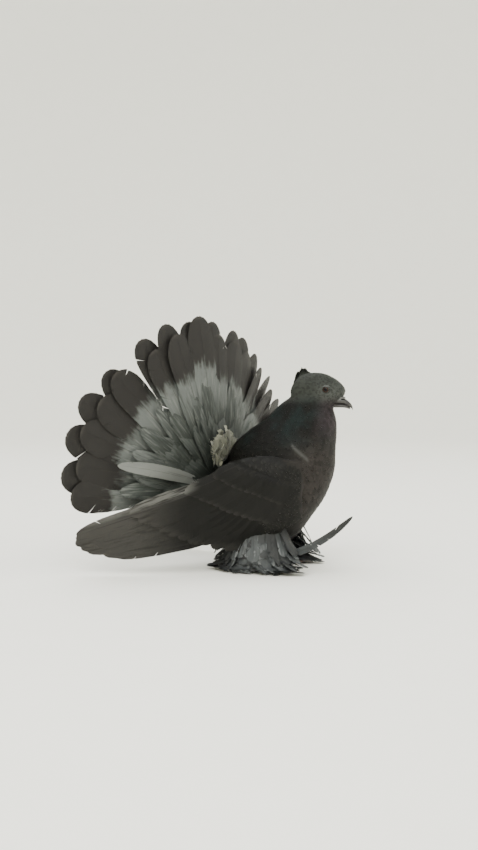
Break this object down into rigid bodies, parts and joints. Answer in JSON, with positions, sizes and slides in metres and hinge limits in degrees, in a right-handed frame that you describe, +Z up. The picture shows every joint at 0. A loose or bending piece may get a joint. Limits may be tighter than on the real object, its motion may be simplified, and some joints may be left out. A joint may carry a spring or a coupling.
{
  "type": "fantail pigeon",
  "caption": "Black crested fantail pigeon standing in display, tail fanned upright, wings drooped, feathered feet.",
  "frame": {"origin": "centre of the bird's bounding box, on the floor under its feet", "axes": "+X the way the bird faces, +Y its left side, +Z up"},
  "size_m": [0.2502, 0.2694, 0.2426],
  "materials": {
    "head_plumage": "short dull feathers",
    "neck_plumage": "glossed green and purple",
    "body_plumage": "black feathers",
    "wing_plumage": "black-brown feathers",
    "tail_plumage": "grey feathers with a dark end band",
    "foot_plumage": "blue-grey feathers",
    "horn": "dark horn",
    "eye": "polished"
  },
  "bodies": {
    "root": {"head": "head_plumage", "neck": "neck_plumage", "torso": "body_plumage", "tail_root": "tail_plumage", "wing_right": "wing_plumage", "wing_left": "wing_plumage", "tail_fan_right": "tail_plumage", "tail_fan_left": "tail_plumage", "leg_right": "foot_plumage", "leg_left": "foot_plumage", "foot_right": "foot_plumage", "foot_left": "foot_plumage", "upper_bill": "horn", "lower_bill": "horn", "eye_right": "eye", "eye_left": "eye", "claw_middle_right": "horn", "claw_inner_right": "horn", "claw_outer_right": "horn", "claw_hind_right": "horn", "claw_middle_left": "horn", "claw_inner_left": "horn", "claw_outer_left": "horn", "claw_hind_left": "horn"}
  },
  "joints": []
}
